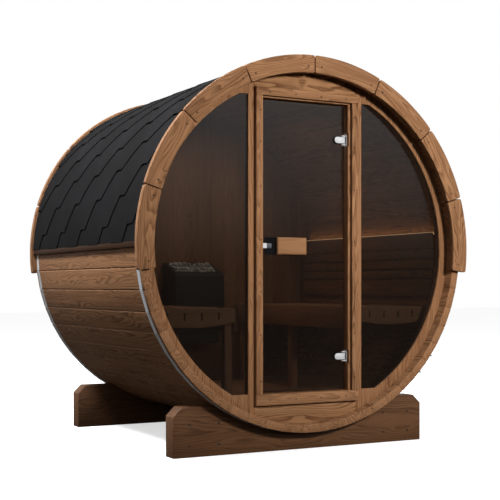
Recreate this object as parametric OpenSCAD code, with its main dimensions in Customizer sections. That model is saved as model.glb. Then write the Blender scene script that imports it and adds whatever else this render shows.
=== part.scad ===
// Barrel sauna: a stave barrel lying on two cradles, with a glazed front wall,
// a glass door, a shingled roof over its upper half, and benches and a heater inside.
// Millimetres, +Z up. The origin is on the ground under the middle of the barrel.
// The front faces -Y, and right is +X as seen from the front.

/* [Barrel] */
// Radius to the flat outer faces of the staves
barrel_r = 1000; // [850:10:1250]
// Length of the staves, from front to rear
barrel_len = 1720; // [1450:10:2600]
// Number of staves round the barrel
stave_count = 54; // [46:4:66]
// Thickness of a stave
stave_t = 44; // [36:1:56]
// Bevel along the outer edges of a stave
stave_bevel = 4; // [2:0.5:8]
// Distance from the ground to the lowest stave
ground_gap = 99; // [60:1:160]

/* [Cradles] */
// Width of a cradle
cradle_w = 1564; // [1300:2:1800]
// Height of a cradle
cradle_h = 262; // [200:1:330]
// Thickness of a cradle
cradle_t = 96; // [60:1:140]
// Distance from a stave end to the cradle's outer face
cradle_inset = 85; // [70:1:300]
// Chamfer on a cradle's upper corners
cradle_chamfer = 48; // [20:1:80]

/* [Trim] */
// How far the trim arcs reach out beyond the staves
trim_over = 30; // [18:1:60]
// Width of a trim block, along the radius
trim_w = 96; // [70:1:130]
// Thickness of a trim block
trim_t = 33; // [20:1:50]
// Trim blocks in one arc
trim_blocks = 8; // [6:2:12]
// Angle that the arc reaches below the barrel's middle
trim_drop = 7.5; // [2:0.5:12]
// Gap between two trim blocks
trim_gap = 3.5; // [1:0.5:8]

/* [Roof and bands] */
// Thickness of the shingle roof
roof_t = 8; // [5:1:16]
// Height of the eave lath
lath_h = 30; // [20:1:50]
// Thickness of the eave lath
lath_t = 15; // [10:1:28]
// Width of a steel band
band_w = 35; // [20:1:50]
// Thickness of a steel band
band_t = 1.5; // [1:0.25:3]
// Distance from a stave end to the band
band_inset = 24; // [10:1:35]
// Stave that carries the lower tensioner lug, counted from the lowest one
lug_stave = 7; // [5:1:9]

/* [End walls] */
// Depth of an end wall behind the stave ends
wall_recess = 60; // [40:1:90]
// Thickness of an end wall
wall_t = 42; // [30:1:56]
// Number of vertical boards in the rear wall
rear_boards = 20; // [14:1:26]
// Width of the rim between a side window's curved edge and the staves
rim_w = 51; // [40:1:90]
// Distance from the door head's top down to a side window's top edge
pane_under = 41; // [20:1:120]
// Distance from the door sill's bottom up to a side window's lower edge
pane_over = 61; // [20:1:120]
// Thickness of the glass
glass_t = 8; // [6:1:10]
// Depth of a side window behind the front wall's face
pane_set = 10; // [4:1:25]
// Width of the posts beside the door frame
post_w = 36; // [24:1:60]

/* [Door] */
// Clear width between the door jambs
door_w = 546; // [480:2:640]
// Height of the panel over the door head, at its middle
top_panel_h = 107; // [80:1:180]
// Height of the panel under the door sill, at its middle
bottom_panel_h = 110; // [80:1:180]
// Width of a jamb
jamb_w = 49; // [35:1:65]
// Height of the door head
head_h = 54; // [35:1:60]
// Height of the door sill
sill_h = 58; // [35:1:60]
// How far the door frame stands proud of the front wall
frame_proud = 25; // [5:1:30]
// Depth of the door frame, front to rear
frame_depth = 85; // [78:1:120]
// Depth of the door leaf behind the frame's front face
leaf_set = 54; // [50:1:56]
// Gap round the door leaf
leaf_gap = 5; // [5:0.5:8]
// Width of the door handle's wood block
handle_w = 182; // [140:1:220]
// Height of the wood block
handle_h = 93; // [70:1:110]
// Thickness of the wood block
handle_t = 26; // [18:1:30]
// Distance from the doorway's top to the upper hinge
hinge_top = 194; // [120:1:300]
// Distance from the doorway's lower edge to the lower hinge
hinge_bottom = 187; // [120:1:300]

/* [Interior] */
// Height of the floor's top above the lowest stave
floor_rise = 106; // [80:1:140]
// Thickness of a floor board
floor_t = 28; // [20:1:34]
// Number of floor boards
floor_boards_n = 9; // [7:1:12]
// Depth of the bench seat's top below the axis
seat_drop = 330; // [250:1:420]
// Half the width of the aisle between the benches
aisle_half = 360; // [320:1:420]
// Thickness of a bench slat
slat_t = 28; // [20:1:35]
// Width of a bench slat
slat_w = 90; // [70:1:92]
// Gap between bench slats
slat_gap = 10; // [6:1:14]
// Distance from the front wall to the bench's front end
bench_gap = 58; // [40:1:140]
// Side of a bench leg
leg_w = 45; // [30:1:60]
// Distance from the bench seat's top up to the backrest
back_rise = 58; // [30:1:100]
// Least distance from a backrest board to the staves
back_play = 11; // [5:1:30]
// Height of the heater's back edge below the axis
heater_drop = 55; // [0:1:150]
// Width of the heater
heater_w = 350; // [280:2:420]
// Depth of the heater
heater_d = 205; // [150:1:260]

/* [Hidden] */

joint = 0.3;             // seam between two pieces that are fitted together
fine = 96;               // facets of a round edge
axis_h = barrel_r + ground_gap;
stave_pitch = 360 / stave_count;
stave_gap = 0.4;
inner_bevel = 2;
inner_r = barrel_r - stave_t;
fit_r = inner_r - joint; // radius of what fits inside the staves
trim_r = barrel_r + trim_over;
front_y = -barrel_len / 2;
far = 2 * trim_r;        // reaches past everything

left = -1;
right = 1;
group_count = 6;

// Distance from the axis to the staves at a height above or below it
function reach(z) = sqrt(pow(fit_r, 2) - pow(z, 2));

// Front wall and door frame; depths are measured from the stave ends
frame_half = door_w / 2 + jamb_w;
frame_front = wall_recess - frame_proud;
post_x = frame_half + joint;
post_out = post_x + post_w;
wall_back = wall_recess + wall_t;
frame_back = frame_front + frame_depth;
door_top = inner_r - top_panel_h - head_h;
door_bottom = inner_r - bottom_panel_h - sill_h;
pane_r = inner_r - rim_w;
pane_top = door_top + head_h - pane_under;
pane_bottom = door_bottom + sill_h - pane_over;

// Door leaf and hinges
leaf_front = frame_front + leaf_set;
leaf_mid = leaf_front + glass_t / 2;
leaf_back = leaf_front + glass_t;
hinges = [hinge_bottom - door_bottom, door_top - hinge_top];
plate_t = 3;
clip_t = 6;
clip_h = 42;
clip_len = 62;
knuckle_r = glass_t / 2 + clip_t;
pin_r = 4;
pin_play = 0.05;
ear_r = 8;
ear_t = 6;
ear_play = 0.3;
pivot_x = door_w / 2 - plate_t - 5 - knuckle_r;
pivot_edge = knuckle_r - 1;
notch_x = 17;
notch_h = 2 * (clip_h / 2 + ear_play + ear_t + 5);
plate_h = 68;
plate_w = 32;
stop_w = 15;
stop_t = 16;
stop_play = 5;
latch_set = 23.7;        // from the leaf's free edge to the latch plate
latch_plate_w = 68;
leaf_edge = -door_w / 2 + leaf_gap;
handle_x = leaf_edge + latch_set + latch_plate_w + joint + handle_w / 2;
handle_z = 6;
latch_plate_t = 4;
latch_bolt_t = 5;
latch_bolt_h = 28;
latch_bolt_w = 57;

// Interior
rear_face = barrel_len - wall_recess - wall_t; // inner face of the rear wall
end_gap = 5;
fascia_t = 26;
fascia_h = 125;
apron_t = 22;
apron_h = 101;
apron_bow = 26;
slot_h = 40;
slot_drop = 22;
floor_drop = inner_r - floor_rise;
bench_inset = wall_back + bench_gap;
bench_back = rear_face - end_gap;
bench_len = bench_back - bench_inset;
slat_x = aisle_half + fascia_t + 1;
slat_count = floor((reach(seat_drop + slat_t) - slat_x + slat_gap) / (slat_w + slat_gap));
leg_x = aisle_half + fascia_t + joint;
back_t = 20;
back_gap = 8;
back_boards = [100, 50, 50, 50, 93];
back_bottom = back_rise - seat_drop;
rib_w = 40;
rib_inset = wall_back + 15;
light_w = 24;
light_h = 8;
heater_front = rear_face - heater_d - 13;
heater_h = 458;
heater_slope = 75;
heater_wall = 12;
stone_bed = 60;
base_w = 290;
base_h = 70;

// ---------------------------------------------------------------- helpers

// Outline of the stave ring at a given distance from the axis to its flats
module barrel_section(flat_r) {
    corner_r = flat_r / cos(stave_pitch / 2);
    polygon([
        for (k = [0 : stave_count - 1])
            let (a = -90 + (k + 0.5) * stave_pitch)
                [corner_r * cos(a), corner_r * sin(a)]
    ]);
}

// Extrudes a front-view outline drawn round the axis, from depth d, measured back
// from the front stave ends, over a given length
module slab(d, length) {
    translate([0, front_y + d + length, axis_h])
        rotate([90, 0, 0])
            linear_extrude(length)
                children();
}

// A block given by its ranges; x and z are measured from the axis, d from the front
module block(x0, x1, d0, d1, z0, z1) {
    translate([x0, front_y + d0, axis_h + z0])
        cube([x1 - x0, d1 - d0, z1 - z0]);
}

// Front-view rectangle given by its corners
module pane(x0, z0, x1, z1) {
    translate([x0, z0])
        square([x1 - x0, z1 - z0]);
}

// Draws a right-hand piece on either side
module on_side(side) {
    mirror([side == left ? 1 : 0, 0, 0])
        children();
}

// Draws a front piece at either end of the barrel
module at_end(rear) {
    mirror([0, rear ? 1 : 0, 0])
        children();
}

// ---------------------------------------------------------------- barrel

module stave(k) {
    half = stave_gap / 2;
    slope = tan(stave_pitch / 2);
    inner_half = inner_r * slope - half;
    outer_half = barrel_r * slope - half;
    low = inner_r + inner_bevel;
    high = barrel_r - stave_bevel;
    slab(0, barrel_len)
        rotate(k * stave_pitch - 180)
            polygon([
                [-(inner_half - inner_bevel), inner_r],
                [inner_half - inner_bevel, inner_r],
                [low * slope - half, low],
                [high * slope - half, high],
                [outer_half - stave_bevel, barrel_r],
                [-(outer_half - stave_bevel), barrel_r],
                [-(high * slope - half), high],
                [-(low * slope - half), low]
            ]);
}

// One sixth of the staves; group 0 is at the bottom and they run towards the right
module stave_group(group) {
    share = stave_count / group_count;
    color("peru")
        for (k = [ceil((group - 0.5) * share) : ceil((group + 0.5) * share) - 1])
            stave(k);
}

module staves_bottom() stave_group(0);
module staves_lower_right() stave_group(1);
module staves_upper_right() stave_group(2);
module staves_top() stave_group(3);
module staves_upper_left() stave_group(4);
module staves_lower_left() stave_group(5);

// ---------------------------------------------------------------- cradles

module cradle(rear) {
    top = cradle_h - axis_h;
    color("sienna")
        at_end(rear)
            slab(cradle_inset, cradle_t)
                difference() {
                    polygon([
                        [-cradle_w / 2, -axis_h],
                        [cradle_w / 2, -axis_h],
                        [cradle_w / 2, top - cradle_chamfer],
                        [cradle_w / 2 - cradle_chamfer, top],
                        [-cradle_w / 2 + cradle_chamfer, top],
                        [-cradle_w / 2, top - cradle_chamfer]
                    ]);
                    barrel_section(barrel_r + joint);
                }
}

module front_cradle() cradle(false);
module rear_cradle() cradle(true);

// ---------------------------------------------------------------- trim and roof

// One side of a trim arc, from the top down to just below the barrel's middle
module trim_arc(side, rear) {
    inner = trim_r - trim_w;
    step = (180 + 2 * trim_drop) / trim_blocks;
    seam = trim_gap / (trim_r - trim_w / 2) * 90 / PI;
    color("tan")
        at_end(rear)
            on_side(side)
                for (n = [0 : trim_blocks / 2 - 1]) {
                    a0 = n * step - trim_drop + seam;
                    a1 = (n + 1) * step - trim_drop - seam;
                    slab(-trim_t, trim_t - joint)
                        intersection() {
                            difference() {
                                circle(trim_r, $fn = 2 * fine);
                                circle(inner, $fn = 2 * fine);
                            }
                            polygon([
                                [0, 0],
                                [far * cos(a0), far * sin(a0)],
                                [far * cos(a1), far * sin(a1)]
                            ]);
                        }
                }
}

module front_trim_left() trim_arc(left, false);
module front_trim_right() trim_arc(right, false);
module rear_trim_left() trim_arc(left, true);
module rear_trim_right() trim_arc(right, true);

// One side of the shingle roof, from the eave lath up to the ridge
module roof(side) {
    color("dimgray")
        on_side(side)
            slab(0, barrel_len)
                intersection() {
                    difference() {
                        barrel_section(barrel_r + joint + roof_t);
                        barrel_section(barrel_r + joint);
                    }
                    pane(joint / 2, lath_h / 2 + joint, far, far);
                }
}

module roof_left() roof(left);
module roof_right() roof(right);

module eave_laths() {
    color("peru")
        for (side = [left, right])
            on_side(side)
                slab(0, barrel_len)
                    difference() {
                        pane(inner_r, -lath_h / 2, barrel_r + joint + lath_t, lath_h / 2);
                        barrel_section(barrel_r + joint);
                    }
}

// ---------------------------------------------------------------- bands

module band(rear) {
    color("silver")
        at_end(rear)
            slab(band_inset, band_w)
                intersection() {
                    difference() {
                        barrel_section(barrel_r + joint + band_t);
                        barrel_section(barrel_r + joint);
                    }
                    pane(-far, -far, far, -lath_h / 2 - joint);
                }
}

module front_band() band(false);
module rear_band() band(true);

// Two lugs on neighbouring staves and the threaded rod that pulls them together,
// on each band's right side
module band_tensioners() {
    lug_h = 26;
    lug_t = 6;
    lug_w = band_w - 4;
    rod_r = 4;
    rod_over = 16;
    foot = barrel_r + 2 * joint + band_t;
    rod_at = (foot + lug_h / 2) * cos(stave_pitch / 2);
    rod_half = (foot + lug_h / 2) * sin(stave_pitch / 2) + rod_over;
    color("dimgray")
        for (rear = [false, true])
            at_end(rear)
                translate([0, front_y + band_inset + band_w / 2, axis_h])
                    union() {
                        for (k = [lug_stave, lug_stave + 1])
                            rotate([0, 90 - k * stave_pitch, 0])
                                translate([foot, -lug_w / 2, -lug_t / 2])
                                    cube([lug_h, lug_w, lug_t]);
                        rotate([0, 90 - (lug_stave + 0.5) * stave_pitch, 0])
                            translate([rod_at, 0, -rod_half])
                                cylinder(h = 2 * rod_half, r = rod_r, $fn = 24);
                    }
}

// ---------------------------------------------------------------- end walls

module rear_wall() {
    pitch = 2 * fit_r / rear_boards;
    color("burlywood")
        for (n = [0 : rear_boards - 1])
            slab(rear_face, wall_t)
                intersection() {
                    barrel_section(fit_r);
                    pane(-fit_r + n * pitch + joint / 2, -far, -fit_r + (n + 1) * pitch - joint / 2, far);
                }
}

// Window opening on the right-hand side, made smaller all round by play
module window_outline(play) {
    intersection() {
        circle(pane_r - play, $fn = 2 * fine);
        pane(post_out + play, -pane_bottom + play, far, pane_top - play);
    }
}

// The wall beside a post, round the side window
module front_rim(side) {
    color("burlywood")
        on_side(side)
            slab(wall_recess, wall_t)
                difference() {
                    intersection() {
                        barrel_section(fit_r);
                        pane(post_out + joint, -far, far, far);
                    }
                    intersection() {
                        circle(pane_r, $fn = 2 * fine);
                        pane(post_out, -pane_bottom, far, pane_top);
                    }
                }
}

module front_left_rim() front_rim(left);
module front_right_rim() front_rim(right);

module front_post(side) {
    color("tan")
        on_side(side)
            slab(wall_recess, wall_t)
                intersection() {
                    barrel_section(fit_r);
                    pane(post_x, -far, post_out, far);
                }
}

module front_left_post() front_post(left);
module front_right_post() front_post(right);

module front_top_panel() {
    color("burlywood")
        slab(wall_recess, wall_t)
            intersection() {
                barrel_section(fit_r);
                pane(-frame_half, door_top + head_h + joint, frame_half, far);
            }
}

module front_bottom_panel() {
    color("burlywood")
        slab(wall_recess, wall_t)
            intersection() {
                barrel_section(fit_r);
                pane(-frame_half, -far, frame_half, -door_bottom - sill_h - joint);
            }
}

module side_window(side) {
    color("dimgray", 0.5)
        on_side(side)
            slab(wall_recess + pane_set, glass_t)
                window_outline(joint);
}

module left_window() side_window(left);
module right_window() side_window(right);

// ---------------------------------------------------------------- door frame

module door_jambs() {
    color("tan")
        for (side = [left, right])
            on_side(side)
                block(door_w / 2, frame_half, frame_front, frame_back, -door_bottom + joint, door_top - joint);
}

module door_head() {
    color("tan")
        block(-frame_half, frame_half, frame_front, frame_back, door_top, door_top + head_h);
}

module door_sill() {
    color("tan")
        block(-frame_half, frame_half, frame_front, frame_back, -door_bottom - sill_h, -door_bottom);
}

// Laths behind the leaf's free edge, top and bottom; they end short of the hinges
module door_stops() {
    d0 = leaf_back + stop_play;
    x0 = -door_w / 2 + joint;
    x1 = pivot_x - notch_x - 2;
    color("tan") {
        block(x0, x0 + stop_w, d0, d0 + stop_t, -door_bottom + 2 * joint, door_top - 2 * joint);
        block(x0 + stop_w + joint, x1, d0, d0 + stop_t, door_top - joint - stop_w, door_top - joint);
        block(x0 + stop_w + joint, x1, d0, d0 + stop_t, -door_bottom + joint, -door_bottom + joint + stop_w);
    }
}

// Plates on the right jamb, each with two ears and a pin that carries a door clip
module hinge_plates() {
    reach = clip_h / 2 + ear_play + ear_t;
    color("silver")
        for (z = hinges)
            translate([0, front_y + leaf_mid, axis_h + z])
                union() {
                    translate([door_w / 2 - joint - plate_t, -plate_w / 2, -plate_h / 2])
                        cube([plate_t, plate_w, plate_h]);
                    for (s = [-1, 1])
                        translate([pivot_x, 0, s > 0 ? reach - ear_t : -reach]) {
                            cylinder(h = ear_t, r = ear_r, $fn = fine);
                            translate([0, -ear_r, 0])
                                cube([door_w / 2 - joint - plate_t - pivot_x + 1, 2 * ear_r, ear_t]);
                        }
                    translate([pivot_x, 0, -reach])
                        cylinder(h = 2 * reach, r = pin_r, $fn = fine);
                }
}

// ---------------------------------------------------------------- door leaf

module door_glass() {
    x1 = pivot_x + pivot_edge;
    color("dimgray", 0.5)
        slab(leaf_front, glass_t)
            difference() {
                pane(leaf_edge, -door_bottom + leaf_gap, x1, door_top - leaf_gap);
                for (z = hinges)
                    pane(pivot_x - notch_x, z - notch_h / 2, far, z + notch_h / 2);
            }
}

// D-shaped clips that grip the glass on both faces and turn on the hinge pins
module door_clips() {
    color("silver")
        for (z = hinges)
            difference() {
                union() {
                    for (d = [leaf_front - clip_t, leaf_back])
                        slab(d, clip_t)
                            union() {
                                translate([pivot_x - clip_len + clip_h / 2, z])
                                    circle(clip_h / 2, $fn = fine);
                                pane(pivot_x - clip_len + clip_h / 2, z - clip_h / 2, pivot_x, z + clip_h / 2);
                            }
                    block(pivot_x - notch_x + joint, pivot_x, leaf_front - 1, leaf_back + 1,
                          z - clip_h / 2, z + clip_h / 2);
                    translate([pivot_x, front_y + leaf_mid, axis_h + z - clip_h / 2])
                        cylinder(h = clip_h, r = knuckle_r, $fn = fine);
                }
                translate([pivot_x, front_y + leaf_mid, axis_h + z - clip_h])
                    cylinder(h = 2 * clip_h, r = pin_r + pin_play, $fn = fine);
            }
}

// A wood block on each face of the glass
module door_handle() {
    color("peru")
        for (d = [leaf_front - handle_t, leaf_back])
            block(handle_x - handle_w / 2, handle_x + handle_w / 2, d, d + handle_t,
                  handle_z - handle_h / 2, handle_z + handle_h / 2);
}

// Dark plate beside the wood block with the catch on it
module door_latch() {
    x1 = handle_x - handle_w / 2 - joint;
    x0 = x1 - latch_plate_w;
    bolt_x = leaf_edge + 6;
    color("black") {
        block(x0, x1, leaf_front - latch_plate_t, leaf_front, handle_z - handle_h / 2, handle_z + handle_h / 2);
        block(bolt_x, bolt_x + latch_bolt_w, leaf_front - latch_plate_t - latch_bolt_t,
              leaf_front - latch_plate_t, handle_z - latch_bolt_h / 2, handle_z + latch_bolt_h / 2);
    }
}

// ---------------------------------------------------------------- floor

module floor_boards() {
    seam = 6;
    top_half = reach(floor_drop);
    pitch = 2 * top_half / floor_boards_n;
    color("peru")
        for (n = [0 : floor_boards_n - 1])
            slab(wall_back + joint, rear_face - wall_back - 2 * joint)
                intersection() {
                    barrel_section(fit_r);
                    pane(-top_half + n * pitch + seam / 2, -floor_drop - floor_t,
                         -top_half + (n + 1) * pitch - seam / 2, -floor_drop);
                }
}

module floor_joists() {
    joist_t = 45;
    joist_count = 3;
    color("sienna")
        for (n = [0 : joist_count - 1])
            slab(wall_back + 60 + n * (rear_face - wall_back - 120 - joist_t) / (joist_count - 1), joist_t)
                intersection() {
                    barrel_section(fit_r);
                    pane(-far, -far, far, -floor_drop - floor_t - joint);
                }
}

// ---------------------------------------------------------------- benches

// Slats from the front apron to the rear wall
module bench_seat(side) {
    color("peru")
        on_side(side)
            for (n = [0 : slat_count - 1]) {
                x = slat_x + n * (slat_w + slat_gap);
                slab(bench_inset + apron_t + joint, bench_len - apron_t - joint)
                    intersection() {
                        barrel_section(fit_r);
                        pane(x, -seat_drop - slat_t, x + slat_w, -seat_drop);
                    }
            }
}

// Fascia, slotted front apron with a bowed lower edge, bearers and legs
module bench_frame(side) {
    under = -seat_drop - slat_t - joint;
    leg_d = [bench_inset + 30, bench_inset + bench_len / 2, bench_back - leg_w - 30];
    bow_half = (slat_count * (slat_w + slat_gap)) / 2;
    bow_r = pow(bow_half, 2) / (2 * apron_bow) + apron_bow / 2;
    color("peru")
        on_side(side) {
            block(aisle_half, aisle_half + fascia_t, bench_inset, bench_back, -seat_drop - fascia_h, -seat_drop);
            slab(bench_inset, apron_t)
                difference() {
                    intersection() {
                        barrel_section(fit_r);
                        pane(leg_x, -seat_drop - apron_h, far, -seat_drop);
                        translate([slat_x + bow_half, -seat_drop - apron_h + bow_r])
                            circle(bow_r, $fn = 2 * fine);
                    }
                    for (n = [1 : slat_count - 1])
                        pane(slat_x + n * (slat_w + slat_gap) - slat_gap, -seat_drop - slot_drop - slot_h,
                             slat_x + n * (slat_w + slat_gap), -seat_drop - slot_drop);
                }
            for (d = leg_d) {
                slab(d, leg_w)
                    intersection() {
                        barrel_section(fit_r);
                        pane(leg_x, under - leg_w, far, under);
                    }
                block(leg_x, leg_x + leg_w, d, d + leg_w, -floor_drop + joint, under - leg_w - joint);
            }
        }
}

module left_bench_seat() bench_seat(left);
module left_bench_frame() bench_frame(left);
module right_bench_seat() bench_seat(right);
module right_bench_frame() bench_frame(right);

// ---------------------------------------------------------------- backrests

// Height of a backrest board's lower edge above the axis
function board_z(n) = n == 0 ? back_bottom : board_z(n - 1) + back_boards[n - 1] + back_gap;

back_top = board_z(len(back_boards) - 1) + back_boards[len(back_boards) - 1];
back_x = floor(reach(max(abs(back_bottom), back_top)) - back_t - back_play);

// Horizontal boards on ribs that follow the staves
module backrest(side) {
    rib_count = 4;
    rib_step = (rear_face - rib_inset - 2 * rib_w) / (rib_count - 1);
    color("tan")
        on_side(side) {
            for (n = [0 : len(back_boards) - 1])
                block(back_x, back_x + back_t, rib_inset, rear_face - rib_w,
                      board_z(n), board_z(n) + back_boards[n]);
            for (n = [0 : rib_count - 1])
                slab(rib_inset + n * rib_step, rib_w)
                    intersection() {
                        barrel_section(fit_r);
                        pane(back_x + back_t + joint, back_bottom, far, back_top - light_h - 2 * joint);
                    }
        }
}

module left_backrest() backrest(left);
module right_backrest() backrest(right);

// Light strips on the ribs, behind the top boards
module backrest_lights() {
    color("gold")
        for (side = [left, right])
            on_side(side)
                block(back_x + back_t + joint, back_x + back_t + joint + light_w,
                      rib_inset, rear_face - rib_w, back_top - light_h - joint, back_top - joint);
}

// ---------------------------------------------------------------- heater

// Side-view outline of the heater, with its sloped top lowered by drop
module heater_side(wall, drop) {
    polygon([
        [heater_front + wall, -heater_drop - heater_h],
        [heater_front + heater_d - wall, -heater_drop - heater_h],
        [heater_front + heater_d - wall, -heater_drop - drop],
        [heater_front + wall, -heater_drop - heater_slope - drop]
    ]);
}

// Extrudes a side-view outline over a width centred on the axis
module across(width) {
    translate([-width / 2, front_y, axis_h])
        rotate([90, 0, 90])
            linear_extrude(width)
                children();
}

// Casing with an open bed for the stones, a narrower base and two wall brackets
module heater_body() {
    bed_w = heater_w - 2 * heater_wall;
    bottom = -heater_drop - heater_h;
    color("dimgray") {
        difference() {
            across(heater_w)
                heater_side(0, 0);
            across(bed_w)
                difference() {
                    translate([0, 1])
                        heater_side(heater_wall, -1);
                    heater_side(0, stone_bed);
                }
        }
        block(-base_w / 2, base_w / 2, heater_front + 10, heater_front + heater_d - 10, bottom - base_h, bottom - joint);
        for (x = [-heater_w / 4, heater_w / 4])
            block(x - 20, x + 20, heater_front + heater_d + joint, rear_face - joint, bottom + 60, -heater_drop - 90);
    }
}

module heater_stones() {
    color("gray")
        across(heater_w - 2 * heater_wall - 2 * joint)
            difference() {
                heater_side(heater_wall + joint, 12);
                heater_side(0, stone_bed - joint);
            }
}

// ---------------------------------------------------------------- parts

front_cradle();
rear_cradle();
staves_bottom();
staves_lower_right();
staves_upper_right();
staves_top();
staves_upper_left();
staves_lower_left();
front_trim_left();
front_trim_right();
rear_trim_left();
rear_trim_right();
roof_left();
roof_right();
eave_laths();
front_band();
rear_band();
band_tensioners();
rear_wall();
front_left_rim();
front_right_rim();
front_left_post();
front_right_post();
front_top_panel();
front_bottom_panel();
left_window();
right_window();
door_jambs();
door_head();
door_sill();
door_stops();
hinge_plates();
floor_boards();
floor_joists();
left_bench_seat();
left_bench_frame();
right_bench_seat();
right_bench_frame();
left_backrest();
right_backrest();
backrest_lights();
heater_body();
heater_stones();
door_glass();
door_clips();
door_handle();
door_latch();
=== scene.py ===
import math
import random

import bpy
import numpy as np
from mathutils import Matrix, Vector


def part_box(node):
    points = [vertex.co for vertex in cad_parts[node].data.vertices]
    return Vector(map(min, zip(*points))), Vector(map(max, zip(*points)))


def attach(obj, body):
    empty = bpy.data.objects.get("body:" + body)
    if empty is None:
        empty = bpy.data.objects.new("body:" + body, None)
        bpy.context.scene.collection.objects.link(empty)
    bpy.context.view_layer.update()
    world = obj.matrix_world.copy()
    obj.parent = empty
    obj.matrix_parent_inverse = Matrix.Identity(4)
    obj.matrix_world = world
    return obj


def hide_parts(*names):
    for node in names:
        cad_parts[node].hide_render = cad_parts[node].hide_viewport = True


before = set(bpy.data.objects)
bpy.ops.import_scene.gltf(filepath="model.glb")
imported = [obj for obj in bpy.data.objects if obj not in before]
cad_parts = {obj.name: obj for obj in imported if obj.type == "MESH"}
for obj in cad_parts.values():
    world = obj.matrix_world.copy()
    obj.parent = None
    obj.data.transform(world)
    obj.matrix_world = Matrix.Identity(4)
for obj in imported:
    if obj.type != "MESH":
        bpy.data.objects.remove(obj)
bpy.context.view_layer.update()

chance = random.Random(7)

# ---------------------------------------------------------------- sizes from the frame
MM = 0.001
SEAM = 0.3 * MM                           # between two pieces that are fitted together

stave_low, stave_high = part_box("staves_bottom")
wall_low, wall_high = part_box("rear_wall")
trim_low, trim_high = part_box("front_trim_right")

AXIS_Z = (wall_low.z + wall_high.z) / 2   # height of the barrel's axis
AXIS = Vector((0, 0, AXIS_Z))
BARREL_R = AXIS_Z - stave_low.z           # radius to the staves' outer faces
FRONT_Y = stave_low.y                     # front stave ends
REAR_Y = stave_high.y
STAVE_TURN = 2 * math.pi / 54             # angle that one stave takes
ROOF_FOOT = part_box("roof_left")[0].z - AXIS_Z   # the roof's lower edge above the axis
FORWARD = Vector((0, -1, 0))


# ---------------------------------------------------------------- modelling helpers
def object_mode():
    if bpy.context.object and bpy.context.object.mode != "OBJECT":
        bpy.ops.object.mode_set(mode="OBJECT")


def deselect():
    object_mode()
    bpy.ops.object.select_all(action="DESELECT")


def only(obj):
    """Selects one object and makes it active."""
    deselect()
    obj.select_set(True)
    bpy.context.view_layer.objects.active = obj


def edit(obj, kind="FACE"):
    """Opens one object in edit mode with nothing selected."""
    only(obj)
    bpy.ops.object.mode_set(mode="EDIT")
    bpy.ops.mesh.select_mode(type=kind)
    bpy.ops.mesh.select_all(action="DESELECT")


def select_faces(obj, test):
    """Selects the faces whose centre and normal pass the test, in edit mode."""
    edit(obj)
    bpy.ops.object.mode_set(mode="OBJECT")
    for face in obj.data.polygons:
        face.select = bool(test(face.center, face.normal))
    bpy.ops.object.mode_set(mode="EDIT")


def select_edges(obj, test):
    """Selects the edges whose two ends pass the test, in edit mode."""
    edit(obj, "EDGE")
    bpy.ops.object.mode_set(mode="OBJECT")
    points = obj.data.vertices
    for edge in obj.data.edges:
        edge.select = bool(test(points[edge.vertices[0]].co, points[edge.vertices[1]].co))
    bpy.ops.object.mode_set(mode="EDIT")


def named(obj, name):
    obj.name = name
    obj.data.name = name
    return obj


def settle(obj):
    """Puts an object's place, turn and size into its mesh."""
    only(obj)
    bpy.ops.object.transform_apply(location=True, rotation=True, scale=True)
    return obj


def box_start(name, low, high):
    """A block between its lowest and highest corners."""
    low, high = Vector(low), Vector(high)
    deselect()
    bpy.ops.mesh.primitive_cube_add(size=1, location=(low + high) / 2)
    obj = bpy.context.object
    obj.scale = high - low
    return settle(named(obj, name))


def rod_start(name, centre, radius, length, axis, sides):
    """A cylinder along X or Y."""
    deselect()
    turn = {"X": (0, math.pi / 2, 0), "Y": (math.pi / 2, 0, 0)}[axis]
    bpy.ops.mesh.primitive_cylinder_add(
        vertices=sides, radius=radius, depth=length, location=centre, rotation=turn)
    return settle(named(bpy.context.object, name))


def ease(obj, width, segments=2, angle=30):
    """Rounds every sharp edge."""
    only(obj)
    rounding = obj.modifiers.new("ease", "BEVEL")
    rounding.width = width
    rounding.segments = segments
    rounding.limit_method = "ANGLE"
    rounding.angle_limit = math.radians(angle)
    rounding.harden_normals = False
    bpy.ops.object.modifier_apply(modifier="ease")
    return obj


def smooth(obj, angle=32):
    only(obj)
    bpy.ops.object.shade_smooth_by_angle(angle=math.radians(angle))
    return obj


def outward(obj):
    """Merges doubles and turns all faces outwards."""
    edit(obj)
    bpy.ops.mesh.select_all(action="SELECT")
    bpy.ops.mesh.remove_doubles(threshold=1e-6)
    bpy.ops.mesh.normals_make_consistent(inside=False)
    object_mode()
    return obj


def copied(obj, name):
    """A copy with a mesh of its own."""
    twin = obj.copy()
    twin.data = obj.data.copy()
    bpy.context.scene.collection.objects.link(twin)
    return named(twin, name)


def turned(obj, angle, centre):
    """Turns a mesh about a line along Y through a centre; a positive angle goes from +Z to +X."""
    centre = Vector(centre)
    obj.matrix_world = (Matrix.Translation(centre) @ Matrix.Rotation(angle, 4, "Y")
                        @ Matrix.Translation(-centre))
    return settle(obj)


def shifted(obj, offset):
    obj.location = Vector(offset)
    return settle(obj)


def joined(objs, name):
    """Joins objects into the first one."""
    deselect()
    for obj in objs:
        obj.select_set(True)
    bpy.context.view_layer.objects.active = objs[0]
    if len(objs) > 1:
        bpy.ops.object.join()
    return named(objs[0], name)


def removed(obj):
    bpy.data.objects.remove(obj)


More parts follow.
